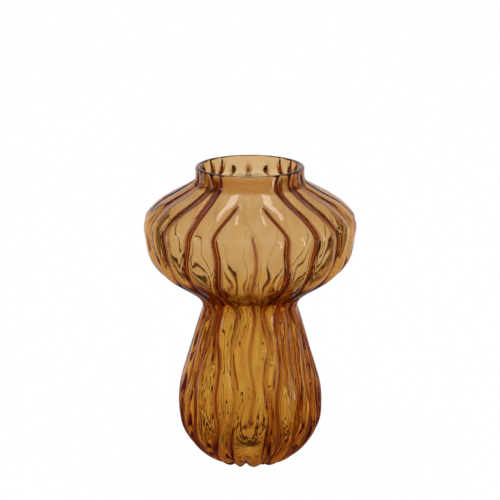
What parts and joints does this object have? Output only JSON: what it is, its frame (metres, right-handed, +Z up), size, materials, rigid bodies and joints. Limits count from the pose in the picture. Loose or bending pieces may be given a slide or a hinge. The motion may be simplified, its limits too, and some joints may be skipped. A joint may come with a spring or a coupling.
{
  "type": "gourd vase",
  "caption": "Double-gourd flower vase in ribbed amber glass, with a round lower bulb, a narrow waist, a wide upper bowl and a short open neck.",
  "frame": {"origin": "on the surface the vase stands on, at the centre of its foot ring", "axes": "+Z up through the mouth, -Y towards the side that the picture shows, +X to the right as seen from there"},
  "size_m": [0.1674, 0.1677, 0.24],
  "materials": {
    "amber_glass": "clear amber blown glass, fire-polished, smooth with soft vertical ribs"
  },
  "bodies": {
    "root": {"lower_bulb": "amber_glass", "upper_bowl": "amber_glass"}
  },
  "joints": []
}
